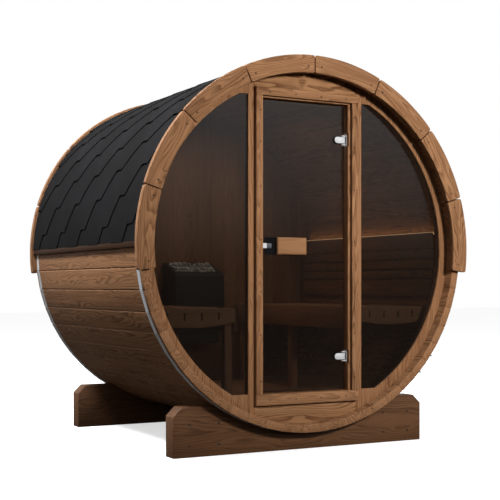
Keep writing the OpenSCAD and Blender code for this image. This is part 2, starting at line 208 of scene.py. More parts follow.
def arc_plate(name, y0, y1, r0, r1, a0, a1, steps):
    """A curved plate round the barrel's axis between two angles from the top, positive to the right."""
    deselect()
    bpy.ops.mesh.primitive_plane_add(
        size=1, location=(0, (y0 + y1) / 2, AXIS_Z + (r0 + r1) / 2), rotation=(0, math.pi / 2, 0))
    obj = named(bpy.context.object, name)
    obj.scale = (r1 - r0, y1 - y0, 1)
    settle(obj)
    turned(obj, a0, AXIS)
    edit(obj)
    bpy.ops.mesh.select_all(action="SELECT")
    bpy.ops.mesh.spin(steps=steps, angle=a0 - a1, center=AXIS, axis=(0, 1, 0))
    return outward(obj)


def cut(obj, point, normal):
    """Cuts away what lies on the normal's side of a plane and closes the cut."""
    edit(obj)
    bpy.ops.mesh.select_all(action="SELECT")
    bpy.ops.mesh.bisect(plane_co=point, plane_no=normal, use_fill=True, clear_outer=True)
    object_mode()
    return obj


def on_rim(radius, angle):
    """The point at a radius from the axis and an angle from the top, positive to the right."""
    return AXIS + Vector((math.sin(angle), 0, math.cos(angle))) * radius


def finish_with(obj, *finishes):
    """Puts finishes on an object in place of what it has."""
    obj.data.materials.clear()
    for finish in finishes:
        obj.data.materials.append(finish)
    return obj


# ---------------------------------------------------------------- board coordinates
def islands(mesh):
    """Number of the separate solid that each vertex belongs to."""
    count = len(mesh.vertices)
    parent = list(range(count))

    def root(i):
        while parent[i] != i:
            parent[i] = parent[parent[i]]
            i = parent[i]
        return i

    for edge in mesh.edges:
        a, b = root(edge.vertices[0]), root(edge.vertices[1])
        if a != b:
            parent[a] = b
    return np.array([root(i) for i in range(count)])


def lay_grain(obj, way="auto", seed=1):
    """Writes each board's own length, width and thickness coordinates and a number of its own.

    The way names the axes of length, width and thickness, as "zxy" does, or says "ring" for
    staves and "auto" for boards whose longest side is their length.
    """
    mesh = obj.data
    points = np.zeros(len(mesh.vertices) * 3)
    mesh.vertices.foreach_get("co", points)
    points = points.reshape(-1, 3)
    owner = islands(mesh)
    grain = np.zeros_like(points)
    board = np.zeros(len(points))
    pick = np.random.RandomState(seed)
    for which in sorted(set(owner)):
        own = owner == which
        p = points[own]
        middle = (p.max(0) + p.min(0)) / 2
        if way == "ring":
            angle = math.atan2(middle[0], middle[2] - AXIS_Z)
            c, s = math.cos(angle), math.sin(angle)
            x, z = p[:, 0], p[:, 2] - AXIS_Z
            local = np.stack([p[:, 1], x * c - z * s, x * s + z * c - BARREL_R], 1)
        elif way == "auto":
            order = np.argsort(-(p.max(0) - p.min(0)), kind="stable")
            local = (p - middle)[:, order]
        else:
            local = (p - middle)[:, ["xyz".index(axis) for axis in way]]
        grain[own] = local
        board[own] = pick.uniform()
    mesh.attributes.new("grain", "FLOAT_VECTOR", "POINT").data.foreach_set("vector", grain.ravel())
    mesh.attributes.new("board", "FLOAT", "POINT").data.foreach_set("value", board)
    return obj


def own_tone(obj):
    """Gives a copied piece a number of its own, which sets its tone."""
    own = chance.random()
    obj.data.attributes["board"].data.foreach_set("value", [own] * len(obj.data.vertices))


def eased_copy(node, name, edge):
    """A CAD node's solids again as one mesh, with every edge eased."""
    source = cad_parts[node]
    obj = copied(source, name)
    obj.parent = None
    for key in list(obj.keys()):
        del obj[key]
    edit(obj)
    bpy.ops.mesh.select_all(action="SELECT")
    bpy.ops.mesh.remove_doubles(threshold=1e-6)
    bpy.ops.mesh.dissolve_limited(angle_limit=math.radians(0.5))
    object_mode()
    return smooth(ease(obj, edge))


def fitted(obj, body, slot, *nodes):
    """Hangs a piece on what it rides on and hides the CAD nodes that it stands for; the slot is not
    used.
    """
    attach(obj, body)
    if nodes:
        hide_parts(*nodes)
    return obj


def timber(node, name, finish, slot, way="auto", edge=2 * MM, seed=1):
    """A CAD node's boards, with eased edges and grain that runs along each board."""
    obj = lay_grain(eased_copy(node, name, edge), way, seed)
    return fitted(finish_with(obj, finish), "root", slot, node)


def fitting(node, name, finish, slot, edge, body="root"):
    """A CAD node's metal parts with eased edges."""
    return fitted(finish_with(eased_copy(node, name, edge), finish), body, slot, node)


# ---------------------------------------------------------------- finishes
class Finish:
    """Builds one material's node tree."""

    def __init__(self, name):
        self.material = bpy.data.materials.new(name)
        self.material.use_nodes = True
        self.tree = self.material.node_tree
        self.shader = next(n for n in self.tree.nodes if n.type == "BSDF_PRINCIPLED")

    def link(self, source, target):
        self.tree.links.new(source, target)

    def add(self, kind, inputs=None, **values):
        """Adds a shader node; an input is a number, a colour or another node's output."""
        node = self.tree.nodes.new("ShaderNode" + kind)
        for key, value in values.items():
            setattr(node, key, value)
        for key, value in (inputs or {}).items():
            socket = node.inputs[key]
            if hasattr(value, "is_output"):
                self.link(value, socket)
            else:
                socket.default_value = value
        return node

    def math(self, operation, a, b=0.0, clamp=False):
        return self.add("Math", {0: a, 1: b}, operation=operation, use_clamp=clamp).outputs[0]

    def centred(self, value, share):
        """A share of how far a value lies above or below a half."""
        return self.math("MULTIPLY", self.math("SUBTRACT", value, 0.5), share)

    def total(self, first, *others):
        for other in others:
            first = self.math("ADD", first, other)
        return first

    def vector(self, operation, a, b=(0, 0, 0)):
        return self.add("VectorMath", {0: a, 1: b}, operation=operation).outputs[0]

    def noise(self, where, scale, detail=3.0):
        node = self.add("TexNoise", {"Vector": where, "Scale": scale, "Detail": detail,
                                     "Roughness": 0.55})
        return node.outputs["Fac"]

    def spread(self, value, low, high, out_low=0.0, out_high=1.0):
        return self.add("MapRange", {"Value": value, "From Min": low, "From Max": high,
                                     "To Min": out_low, "To Max": out_high},
                        clamp=True).outputs[0]

    def ramp(self, value, *stops):
        node = self.add("ValToRGB", {"Fac": value})
        band = node.color_ramp
        while len(band.elements) < len(stops):
            band.elements.new(0.5)
        for element, (place, colour) in zip(band.elements, stops):
            element.position = place
            element.color = (*colour, 1)
        return node.outputs["Color"]

    def mix(self, share, a, b, blend="MIX"):
        node = self.add("Mix", data_type="RGBA", blend_type=blend)
        for socket, value in ((node.inputs[0], share), (node.inputs[6], a), (node.inputs[7], b)):
            if hasattr(value, "is_output"):
                self.link(value, socket)
            elif isinstance(value, (int, float)):
                socket.default_value = value
            else:
                socket.default_value = (*value, 1)
        return node.outputs[2]

    def bump(self, height, distance, strength):
        node = self.add("Bump", {"Height": height, "Distance": distance, "Strength": strength})
        return node.outputs["Normal"]

    def wear(self, colour=None, rough=None, normal=None):
        """Links what varies over the surface and gives back the material."""
        for key, value in (("Base Color", colour), ("Roughness", rough), ("Normal", normal)):
            if value is not None:
                self.link(value, self.shader.inputs[key])
        return self.material

    def fixed(self, **values):
        """Sets what is the same all over the surface."""
        for key, value in values.items():
            self.shader.inputs[key.replace("_", " ")].default_value = value


BOARD_TONE = 0.30   # how much the boards differ from each other


def wood(name, pale, dark, knots=0.16, ring=13 * MM, contrast=1.0, sheen=0.22):
    """Planed softwood: rings round a wandering pith, fibres, knots and a tone for each board."""
    f = Finish(name)
    grain = f.add("Attribute", attribute_name="grain").outputs["Vector"]
    board = f.add("Attribute", attribute_name="board").outputs["Fac"]

    # each board is cut from a place of its own in the noise
    own = f.add("TexWhiteNoise", {"W": f.math("MULTIPLY", board, 91.7)}, noise_dimensions="1D")
    chances = f.add("SeparateColor", {"Color": own.outputs["Color"]}).outputs
    place = f.add("CombineXYZ", {"X": f.math("MULTIPLY", board, 37.0),
                                 "Y": f.math("MULTIPLY", own.outputs["Value"], 11.0)}).outputs[0]
    away = f.vector("ADD", grain, place)

    def along(stretch, detail=2.0):
        return f.noise(f.vector("MULTIPLY", away, stretch), 1.0, detail)

    slow = f.vector("MULTIPLY", away, (1.3, 7.0, 7.0))
    drift = f.noise(slow, 1.0, 2.0)
    drift_two = f.noise(f.vector("ADD", slow, (5.2, 1.3, 9.1)), 1.0, 2.0)
    ripple = along((9.0, 30.0, 30.0))
    fibre = along((14.0, 420.0, 420.0))
    streak = along((1.6, 52.0, 52.0), 3.0)
    blotch = along((2.2, 6.0, 6.0), 3.0)

    # knots: a few cells hold a dark core that pushes the rings aside
    flat = f.vector("MULTIPLY", away, (1.0, 1.0, 0.15))
    cell = f.add("TexVoronoi", {"Vector": flat, "Scale": 9.0, "Randomness": 0.9}).outputs
    draw = f.add("SeparateColor", {"Color": cell["Color"]}).outputs[0]
    kept = f.math("LESS_THAN", draw, knots)
    near = f.math("MULTIPLY", kept, f.spread(cell["Distance"], 0.0, 0.34, 1.0, 0.0))
    core = f.math("MULTIPLY", kept, f.spread(cell["Distance"], 0.05, 0.10, 1.0, 0.0))

    # rings: the distance from a pith that lies under the board and wanders
    at = f.add("SeparateXYZ", {"Vector": grain}).outputs
    across = f.total(at["Y"], f.centred(chances[0], 0.12), f.centred(drift, 0.16))
    deep = f.math("SUBTRACT", at["Z"], f.math("MULTIPLY", chances[1], 0.07))
    deep = f.total(deep, f.centred(drift_two, 0.14))
    squares = f.total(f.math("MULTIPLY", across, across), f.math("MULTIPLY", deep, deep))
    reach = f.total(f.math("SQRT", squares), f.math("MULTIPLY", near, 0.012),
                    f.math("MULTIPLY", ripple, 0.006))
    rings = f.math("FRACT", f.math("DIVIDE", reach, ring))
    late = f.math("MULTIPLY", f.spread(rings, 0.25, 0.86), f.spread(rings, 0.92, 1.0, 1.0, 0.0))

    # colour, from pale early wood to dark late wood and knots
    depth = f.total(f.math("MULTIPLY", late, 0.52 * contrast), f.centred(streak, contrast),
                    f.centred(fibre, 0.35 * contrast), f.centred(blotch, 0.7),
                    f.centred(chances[2], BOARD_TONE))
    depth = f.math("ADD", depth, 0.32 - 0.18 * contrast, clamp=True)
    middle = [(a + b) / 2 for a, b in zip(pale, dark)]
    colour = f.ramp(depth, (0.0, pale), (0.5, middle), (1.0, dark))
    ruddy = f.math("MULTIPLY", f.math("SUBTRACT", own.outputs["Value"], 0.35), 0.9, clamp=True)
    colour = f.mix(f.math("MULTIPLY", ruddy, BOARD_TONE), colour, (1.0, 0.80, 0.66), "MULTIPLY")
    halo = f.math("MULTIPLY", f.math("POWER", near, 2.5), 0.55)
    colour = f.mix(halo, colour, [c * 0.62 for c in dark])
    colour = f.mix(f.math("MULTIPLY", core, 0.85), colour, [c * 0.22 for c in dark])

    rough = f.spread(f.math("ADD", f.math("MULTIPLY", late, 0.4), fibre), 0.2, 1.1, 0.46, 0.70)
    height = f.math("ADD", f.math("MULTIPLY", late, 0.5), f.math("MULTIPLY", fibre, 0.7))
    f.fixed(Specular_IOR_Level=sheen)
    return f.wear(colour, rough, f.bump(height, 0.5 * MM, 0.5))


def granules(name, base, specks):
    """Mineral felt: crushed slate with pale and black grains, and a slow change of tone."""
    f = Finish(name)
    where = f.add("TexCoord").outputs["Object"]
    board = f.add("Attribute", attribute_name="board").outputs["Fac"]
    grit = f.add("TexVoronoi", {"Vector": where, "Scale": 620.0})
    grey = f.add("SeparateColor", {"Color": grit.outputs["Color"]}).outputs[0]
    fine = f.noise(where, 260.0, 2.0)
    slow = f.noise(where, 5.5, 3.0)
    amount = f.total(f.math("MULTIPLY", grey, 0.45), f.math("MULTIPLY", fine, 0.35),
                     f.centred(slow, 0.5))
    amount = f.math("ADD", amount, f.centred(board, 0.16), clamp=True)
    colour = f.ramp(amount, (0.1, [c * 0.55 for c in base]), (0.5, base), (0.95, specks))
    rough = f.spread(fine, 0.3, 0.7, 0.74, 0.92)
    normal = f.bump(f.math("ADD", grit.outputs["Distance"], fine), 0.7 * MM, 0.6)
    f.fixed(Specular_IOR_Level=0.08)
    return f.wear(colour, rough, normal)


def painted_shade_felt(name):
    """The felt's cut edges and the skin under the tabs, near-black: painted shade under and between the
    tabs.
    """
    f = Finish(name)
    where = f.add("TexCoord").outputs["Object"]
    grit = f.noise(where, 300.0, 2.0)
    colour = f.ramp(grit, (0.3, (0.0015, 0.0015, 0.0016)), (0.8, (0.006, 0.006, 0.0065)))
    return f.wear(colour, f.spread(grit, 0.2, 0.8, 0.7, 0.95), f.bump(grit, 0.4 * MM, 0.5))


def metal(name, colour, stretch, rough=(0.26, 0.42), metallic=0.6):
    """Rolled or brushed metal with fine lines along its length and dull patches."""
    f = Finish(name)
    where = f.add("TexCoord").outputs["Object"]
    lines = f.noise(f.vector("MULTIPLY", where, stretch), 1.0, 3.0)
    patch = f.noise(where, 14.0, 4.0)
    share = f.math("MULTIPLY", f.math("ADD", lines, patch), 0.5)
    shade = f.ramp(share, (0.25, [c * 0.88 for c in colour]), (0.75, colour))
    f.fixed(Metallic=metallic)
    return f.wear(shade, f.spread(share, 0.3, 0.7, *rough), f.bump(lines, 0.12 * MM, 0.4))


def painted(name, colour, rough=(0.42, 0.58), metallic=0.0, sheen=0.5):
    """Powder coat or moulded skin with a fine pebbled surface and slight dulling."""
    f = Finish(name)
    where = f.add("TexCoord").outputs["Object"]
    pebble = f.noise(where, 900.0, 2.0)
    patch = f.noise(where, 9.0, 4.0)
    shade = f.ramp(patch, (0.25, [c * 0.82 for c in colour]), (0.75, [c * 1.14 for c in colour]))
    f.fixed(Metallic=metallic, Specular_IOR_Level=sheen)
    return f.wear(shade, f.spread(patch, 0.3, 0.7, *rough), f.bump(pebble, 0.15 * MM, 0.35))


def rock(name):
    """Broken grey stone, pale on its rough faces."""
    f = Finish(name)
    where = f.add("TexCoord").outputs["Object"]
    large = f.noise(where, 26.0, 5.0)
    fine = f.noise(where, 240.0, 3.0)
    amount = f.math("ADD", f.math("MULTIPLY", large, 0.75), f.math("MULTIPLY", fine, 0.3))
    colour = f.ramp(amount, (0.3, (0.16, 0.155, 0.145)), (0.55, (0.42, 0.41, 0.39)),
                    (0.8, (0.72, 0.70, 0.67)))
    normal = f.bump(f.math("ADD", large, fine), 2.2 * MM, 0.7)
    return f.wear(colour, f.spread(fine, 0.2, 0.8, 0.65, 0.95), normal)


def smoked_glass(name):
    """Brown-grey solar glass; it lets part of the light through and shines on its face."""
    f = Finish(name)
    where = f.add("TexCoord").outputs["Object"]
    haze = f.noise(where, 3.0, 3.0)
    colour = f.ramp(haze, (0.3, (0.008, 0.006, 0.005)), (0.7, (0.012, 0.009, 0.007)))
    rough = f.spread(haze, 0.3, 0.7, 0.02, 0.04)
    f.fixed(Alpha=0.53, Specular_IOR_Level=0.5)
    return f.wear(colour, rough)


def lamp_strip(name, strength):
    """A warm light strip whose colour varies a little from one diode to the next."""
    f = Finish(name)
    where = f.add("TexCoord").outputs["Object"]
    dots = f.noise(f.vector("MULTIPLY", where, (1.0, 30.0, 1.0)), 1.0, 1.0)
    colour = f.ramp(dots, (0.3, (1.0, 0.62, 0.30)), (0.7, (1.0, 0.70, 0.38)))
    f.link(colour, f.shader.inputs["Emission Color"])
    f.fixed(Emission_Strength=strength)
    return f.wear(colour)


PALE, DARK = (0.325, 0.166, 0.080), (0.112, 0.047, 0.0195)
PANEL_PALE, GRIP_PALE = (0.310, 0.158, 0.074), (0.310, 0.158, 0.075)
SHADED, SHADED_DARK = (0.036, 0.017, 0.008), (0.014, 0.006, 0.003)
# The cradles' wood below is darkened to about half: painted shade from the barrel above them.
CRADLE_SHADED, CRADLE_SHADED_DARK = (0.132, 0.062, 0.029), (0.042, 0.018, 0.008)
# The cabin walls' wood below is darker than the outer wood: painted shade inside the cabin.
INNER_SHADED, INNER_SHADED_DARK = (0.265, 0.135, 0.065), (0.090, 0.038, 0.016)
# The benches' and floor's wood below is about 1.7 times paler than the rest: painted light on the
# cabin's benches and floor.
BENCH_LIT, BENCH_LIT_DARK = (0.56, 0.30, 0.15), (0.24, 0.11, 0.05)
stave_wood = wood("stave_wood", PALE, DARK, knots=0.16, ring=10 * MM, contrast=1.4)
lath_wood = wood("lath_wood", SHADED, SHADED_DARK, knots=0.06, contrast=0.5, sheen=0.08)
trim_wood = wood("trim_wood", PALE, DARK, knots=0.15, ring=9 * MM, contrast=1.25)
wall_wood = wood("wall_wood", PALE, DARK, knots=0.14, ring=10 * MM, contrast=1.25)
panel_wood = wood("panel_wood", PANEL_PALE, DARK, knots=0.14, ring=12 * MM, contrast=1.8)
cradle_wood = wood("cradle_wood", CRADLE_SHADED, CRADLE_SHADED_DARK, knots=0.22, contrast=1.2)
grip_wood = wood("grip_wood", GRIP_PALE, DARK, knots=0.0, contrast=0.5)
inner_shaded_wood = wood("inner_shaded_wood", INNER_SHADED, INNER_SHADED_DARK, knots=0.12, ring=10 * MM, contrast=0.7)
bench_lit_wood = wood("bench_lit_wood", BENCH_LIT, BENCH_LIT_DARK, knots=0.05, contrast=0.5)
shingle = granules("shingle", (0.0050, 0.0050, 0.0057), (0.019, 0.019, 0.0215))
shingle_shade_black = painted_shade_felt("shingle_shade_black")
band_steel = metal("band_steel", (0.80, 0.85, 0.91), (2.0, 420.0, 2.0), metallic=0.4)
plain_steel = metal("plain_steel", (0.80, 0.80, 0.81), (60.0, 60.0, 60.0), (0.40, 0.52), metallic=0.35)
dull_steel = metal("dull_steel", (0.16, 0.17, 0.18), (60.0, 60.0, 60.0), (0.35, 0.5))
screw_steel = painted("screw_steel", (0.030, 0.022, 0.017), (0.5, 0.65), metallic=0.3)
black_fitting = painted("black_fitting", (0.0035, 0.0035, 0.004), sheen=0.15)
heater_paint = painted("heater_paint", (0.035, 0.036, 0.034), metallic=0.2)
heater_trim = painted("heater_trim", (0.085, 0.085, 0.080), metallic=0.3)
stones = rock("stones")
glass = smoked_glass("glass")
warm_light = lamp_strip("warm_light", 3.6)
light_lip = lamp_strip("light_lip", 0.75)

# ---------------------------------------------------------------- staves and boards
GROUPS = ("bottom", "lower_right", "upper_right", "top", "upper_left", "lower_left")
for number, group in enumerate(GROUPS):
    timber("staves_" + group, "stave_boards_" + group, stave_wood, "stave_wood",
           way="ring", edge=4 * MM, seed=11 + number)

# the cradles take the darkened wood, painted shade under the barrel
for end in ("front", "rear"):
    timber(end + "_cradle", end + "_cradle_beam", cradle_wood, "cradle_wood",
           way="xzy", edge=4 * MM, seed=21 if end == "front" else 22)

timber("eave_laths", "eave_lath_boards", lath_wood, "stave_wood", edge=2 * MM, seed=23)
# the rear wall and backrests take the darker wood, painted shade inside the cabin
timber("rear_wall", "rear_wall_boards", inner_shaded_wood, "wall_wood",
       way="zxy", edge=2.5 * MM, seed=24)
for side in ("left", "right"):
    timber(f"front_{side}_rim", f"front_{side}_rim_board", wall_wood, "wall_wood",
           way="zxy", edge=2 * MM, seed=25)
    timber(f"front_{side}_post", f"front_{side}_post_board", wall_wood, "wall_wood",
           way="zxy", edge=2 * MM, seed=27)
for number, panel in enumerate(("front_top_panel", "front_bottom_panel")):
    timber(panel, panel + "_board", panel_wood, "wall_wood",
           way="xzy", edge=2 * MM, seed=31 + number)

# ---------------------------------------------------------------- door frame
JAMB_W = 49 * MM
STEP_W, STEP_T = 9 * MM, 21 * MM          # the step round the opening in the frame's face
PLATE_H = 68 * MM                         # height of a hinge plate
LATH_W, LATH_PLAY = 6.5 * MM, 4 * MM

jamb_low, jamb_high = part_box("door_jambs")
head_low, head_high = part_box("door_head")
sill_low, sill_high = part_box("door_sill")
plate_low, plate_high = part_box("hinge_plates")
glass_low, glass_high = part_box("door_glass")
clear_half = head_high.x - JAMB_W


def rebated(name, boards, way, seed, node):
    """Frame boards in two layers; offsets set the front layer back from the opening."""
    layers = []
    for low, high, low_offset, high_offset in boards:
        low, high = Vector(low), Vector(high)
        step = low.y + STEP_T
        layers.append(ease(box_start("layer", (low.x, step, low.z), high), 1.5 * MM))
        layers.append(ease(box_start("layer", low + Vector(low_offset),
                                     Vector((high.x, step, high.z)) + Vector(high_offset)), 2.5 * MM))
    obj = lay_grain(smooth(joined(layers, name)), way, seed)
    return fitted(finish_with(obj, trim_wood), "root", "trim_wood", node)


FLUSH = (0, 0, 0)
rebated("door_jamb_boards", [
    ((-head_high.x, jamb_low.y, jamb_low.z), (-clear_half, jamb_high.y, jamb_high.z),
     FLUSH, (-STEP_W, 0, STEP_W)),
    ((clear_half, jamb_low.y, jamb_low.z), (head_high.x, jamb_high.y, jamb_high.z),
     (STEP_W, 0, 0), (0, 0, STEP_W)),
], "zxy", 33, "door_jambs")

# the rebate's lath beside the leaf, cut out at the hinges
laths = []
for low, high in (
    (jamb_low.z, plate_low.z - LATH_PLAY),
    (plate_low.z + PLATE_H + LATH_PLAY, plate_high.z - PLATE_H - LATH_PLAY),
    (plate_high.z + LATH_PLAY, jamb_high.z),
):
    laths.append(ease(box_start("lath", (clear_half - LATH_W, jamb_low.y + STEP_T, low),
                                (clear_half, glass_low.y - 5 * MM, high)), 1.2 * MM))
rebate = lay_grain(smooth(joined(laths, "door_rebate_laths")), "zxy", 53)
fitted(finish_with(rebate, trim_wood), "root", "trim_wood")
rebated("door_head_board", [(head_low, head_high, (0, 0, STEP_W), FLUSH)], "xzy", 34, "door_head")
timber("door_sill", "door_sill_board", trim_wood, "trim_wood", way="xzy", edge=2.5 * MM, seed=35)
timber("door_stops", "door_stop_laths", trim_wood, "trim_wood", edge=1.5 * MM, seed=36)

# ---------------------------------------------------------------- floor and benches
# the floor and benches take the paler wood, painted light inside the cabin
timber("floor_boards", "floor_planks", bench_lit_wood, "interior_wood",
       way="yxz", edge=2 * MM, seed=37)
# the joists share the cradles' darkened wood, painted shade
timber("floor_joists", "floor_joist_beams", cradle_wood, "interior_wood",
       way="xzy", edge=3 * MM, seed=38)
for number, side in enumerate(("left", "right")):
    timber(f"{side}_bench_seat", f"{side}_bench_slats", bench_lit_wood, "interior_wood",
           way="yxz", edge=4 * MM, seed=41 + number)
    timber(f"{side}_bench_frame", f"{side}_bench_beams", bench_lit_wood, "interior_wood",
           edge=2 * MM, seed=43 + number)
    timber(f"{side}_backrest", f"{side}_backrest_boards", inner_shaded_wood, "interior_wood",
           edge=3 * MM, seed=45 + number)


# ---------------------------------------------------------------- trim arcs
TRIM_OUT = trim_high.z - AXIS_Z
TRIM_W = 96 * MM
TRIM_T = trim_high.y - trim_low.y
TRIM_BLOCKS = 8                           # in one arc
TRIM_DROP = math.radians(7.5)             # angle that the arc reaches below the axis
TRIM_STEP = (math.pi + 2 * TRIM_DROP) / TRIM_BLOCKS
TRIM_GAP = 5 * MM / (TRIM_OUT - TRIM_W / 2)
CORNER_R = 10 * MM
JOINT_SHADE_T, JOINT_SHADE_HALF = 3 * MM, 2.4 * MM      # thickness and half the width of a joint's strip


def trim_block():
    """One block at the top of the front arc, spun from its cross-section."""
    arc = TRIM_STEP - TRIM_GAP
    obj = arc_plate("trim_block", trim_low.y, trim_high.y, TRIM_OUT - TRIM_W, TRIM_OUT,
                    -arc / 2, arc / 2, 14)
    # round the four corners seen from the front, then every other edge
    select_edges(obj, lambda a, b: abs(a.y - b.y) > 0.6 * TRIM_T
                 and abs(abs(math.atan2(a.x, a.z - AXIS_Z)) - arc / 2) < 0.01)
    bpy.ops.mesh.bevel(offset=CORNER_R, segments=4, affect="EDGES")
    object_mode()
    smooth(ease(obj, 3.5 * MM, 2, 40), 35)

    mesh = obj.data
    grain = np.array([(v.co.x, v.co.z - AXIS_Z - TRIM_OUT + TRIM_W / 2, v.co.y - trim_low.y)
                      for v in mesh.vertices])
    mesh.attributes.new("grain", "FLOAT_VECTOR", "POINT").data.foreach_set("vector", grain.ravel())
    mesh.attributes.new("board", "FLOAT", "POINT")
    return finish_with(obj, trim_wood)


pattern_block = trim_block()
for end in ("front", "rear"):
    for side in ("left", "right"):
        blocks = []
        for n in range(TRIM_BLOCKS // 2):
            piece = copied(pattern_block, f"block_{n}")
            own_tone(piece)
            angle = math.pi / 2 + TRIM_DROP - (n + 0.5) * TRIM_STEP
            if end == "rear":
                shifted(piece, (0, -(trim_low.y + trim_high.y), 0))
            blocks.append(turned(piece, angle if side == "right" else -angle, AXIS))
        arc = joined(blocks, f"{end}_{side}_trim_blocks")
        fitted(arc, "root", "trim_wood", f"{end}_trim_{side}")
removed(pattern_block)

# near-black strips behind the joints of the trim blocks: painted shade that makes the gaps read dark
strips = []
for back in (trim_high.y - JOINT_SHADE_T, -trim_high.y):
    for n in range(1, TRIM_BLOCKS):
        strip = box_start("strip", (-JOINT_SHADE_HALF, back, AXIS_Z + TRIM_OUT - TRIM_W + 6 * MM),
                          (JOINT_SHADE_HALF, back + JOINT_SHADE_T, AXIS_Z + TRIM_OUT - 8 * MM))
        strips.append(turned(strip, n * TRIM_STEP - math.pi / 2 - TRIM_DROP, AXIS))
joint_shade_strips = joined(strips, "trim_joint_shade_strips")
fitted(finish_with(joint_shade_strips, shingle_shade_black), "root", "shingle")

# ---------------------------------------------------------------- shingles
TAB_EXPOSE = 157 * MM                     # height of one course
TAB_PITCH = 350 * MM
TAB_FOOT = 76 * MM                        # a tab's straight lower edge
TAB_SLANT = TAB_PITCH / 2 - TAB_FOOT
TAB_T = 5.5 * MM
TAB_RISE = 6.0 * MM                       # how far a tab's foot stands above its top
TAB_LAP = 0.4 * MM                        # how deep a tab sits in the felt under it
TAB_GROOVE = 9 * MM
TAB_REACH = 135 * MM                      # how far past an end the middle of a tab may lie
SKIN_T = 8.0 * MM
SKIN_R = BARREL_R + SEAM
FIRST_FOOT = 95 * MM                      # arc from the barrel's middle up to the first course
FIRST_TAB = FRONT_Y + 1504 * MM
COURSES = range(-2, 10)


def shingle_tab():
    """One six-sided tab, its top edge at the crown and its foot to the left."""
    half = TAB_FOOT / 2 + TAB_SLANT
    turn = TAB_EXPOSE / SKIN_R
    base = SKIN_R + SKIN_T - TAB_LAP
    obj = arc_plate("tab", -half, half, base, base + TAB_T, -2 * turn, 0.0, 6)
    for upper in (False, True):
        for front in (-1, 1):
            middle = (-0.5 if upper else -1.5) * turn
            along = Vector((math.cos(middle), 0, -math.sin(middle)))
            normal = along * (TAB_SLANT if upper else -TAB_SLANT)
            normal += Vector((0, front * TAB_EXPOSE, 0))
            normal.normalize()
            point = on_rim(base, middle)
            point.y = front * (TAB_FOOT / 2 + TAB_SLANT / 2)
            # the groove's sides and floor are near-black, painted shade
            if front < 0 and not upper:   # this cut leaves a dark groove beside the next tab
                point -= normal * TAB_GROOVE
            cut(obj, point, normal)
    foot = -2 * turn + TAB_GROOVE / SKIN_R
    cut(obj, on_rim(base, foot), Vector((-math.cos(foot), 0, math.sin(foot))))
    turned(obj, TAB_RISE / (2 * TAB_EXPOSE), on_rim(base, 0))
    finish_with(obj, shingle, shingle_shade_black)
    # faces that don't face outwards, the tab's cut sides, take the near-black painted shade
    for face in obj.data.polygons:
        out = face.center - AXIS
        out.y = 0
        face.material_index = 0 if face.normal.dot(out.normalized()) > 0.7 else 1
    obj.data.attributes.new("board", "FLOAT", "POINT")
    return obj


def roof(side):
    """The felt skin and its courses of tabs, made on the left and turned over for the right."""
    eave_angle = math.pi / 2 - ROOF_FOOT / SKIN_R
    skin = arc_plate("skin", FRONT_Y, REAR_Y, SKIN_R, SKIN_R + SKIN_T,
                     -eave_angle, -SEAM / 2 / SKIN_R, 48)
    # the skin is near-black: painted shade at the floor of the grooves between the tabs
    finish_with(skin, shingle_shade_black)
    skin.data.attributes.new("board", "FLOAT", "POINT")
    parts = [skin]
    tab = shingle_tab()
    for course in COURSES:
        top = FIRST_FOOT + (course + 2) * TAB_EXPOSE
        middle = FIRST_TAB - (course % 2) * TAB_PITCH / 2
        place = middle - math.ceil((middle - FRONT_Y + TAB_PITCH) / TAB_PITCH) * TAB_PITCH
        while place < REAR_Y + TAB_PITCH:
            if FRONT_Y - TAB_REACH < place < REAR_Y + TAB_REACH:
                twin = copied(tab, "tab_twin")
                own_tone(twin)
                shifted(twin, (0, place, 0))
                parts.append(turned(twin, top / SKIN_R - math.pi / 2, AXIS))
            place += TAB_PITCH
    removed(tab)
    obj = joined(parts, f"{side}_shingles")
    cut(obj, (0, 0, AXIS_Z + ROOF_FOOT), (0, 0, -1))
    cut(obj, (0, FRONT_Y, 0), (0, -1, 0))
    cut(obj, (0, REAR_Y, 0), (0, 1, 0))
    cut(obj, (-SEAM / 2, 0, 0), (1, 0, 0))
    if side == "right":
        obj.scale = (-1, 1, 1)
        settle(obj)
        edit(obj)
        bpy.ops.mesh.select_all(action="SELECT")
        bpy.ops.mesh.normals_make_consistent(inside=False)
        object_mode()
    return fitted(smooth(obj, 20), "root", "shingle", f"roof_{side}")


roof("left")
roof("right")

# ---------------------------------------------------------------- door furniture
CLIP_H = 42 * MM
COVER_H, COVER_T = 35 * MM, 2.5 * MM
LATCH_W = 68 * MM                         # length of the latch plate
LATCH_T = 4 * MM
BOLT_LEN, BOLT_HALF = 27 * MM, 14 * MM    # length and half the height
SLEEVE_END, SLEEVE_HALF = 57 * MM, 13 * MM


def wood_block(name, low, high, front):
    """One half of the handle: a block with chamfered edges on its outer face."""
    obj = box_start(name, low, high)
    face = low.y if front else high.y
    select_edges(obj, lambda a, b: abs(a.y - face) < 0.1 * MM and abs(b.y - face) < 0.1 * MM)
    bpy.ops.mesh.bevel(offset=6 * MM, segments=1, affect="EDGES")
    object_mode()
    return smooth(ease(obj, 1.2 * MM, 2, 20))


grip_low, grip_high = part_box("door_handle")
GLASS_PLAY = 0.1 * MM
halves = [
    wood_block("grip_front", grip_low, (grip_high.x, glass_low.y - GLASS_PLAY, grip_high.z), True),
    wood_block("grip_rear", (grip_low.x, glass_high.y + GLASS_PLAY, grip_low.z), grip_high, False),
]
grip = lay_grain(joined(halves, "door_grip"), "xzy", 51)
fitted(finish_with(grip, grip_wood), "door", "trim_wood", "door_handle")

# the latch: a plate with a sunk face, and its bolt in a sleeve
latch_low, latch_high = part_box("door_latch")
plate_x = grip_low.x - SEAM
plate = box_start("latch_plate", (plate_x - LATCH_W, latch_high.y - LATCH_T, latch_low.z),
                  (plate_x, latch_high.y, latch_high.z))
select_faces(plate, lambda c, n: n.y < -0.5)
bpy.ops.mesh.inset(thickness=5 * MM, depth=-1 * MM)
object_mode()
fitted(finish_with(smooth(ease(plate, 0.8 * MM)), black_fitting), "door", "latch_black", "door_latch")

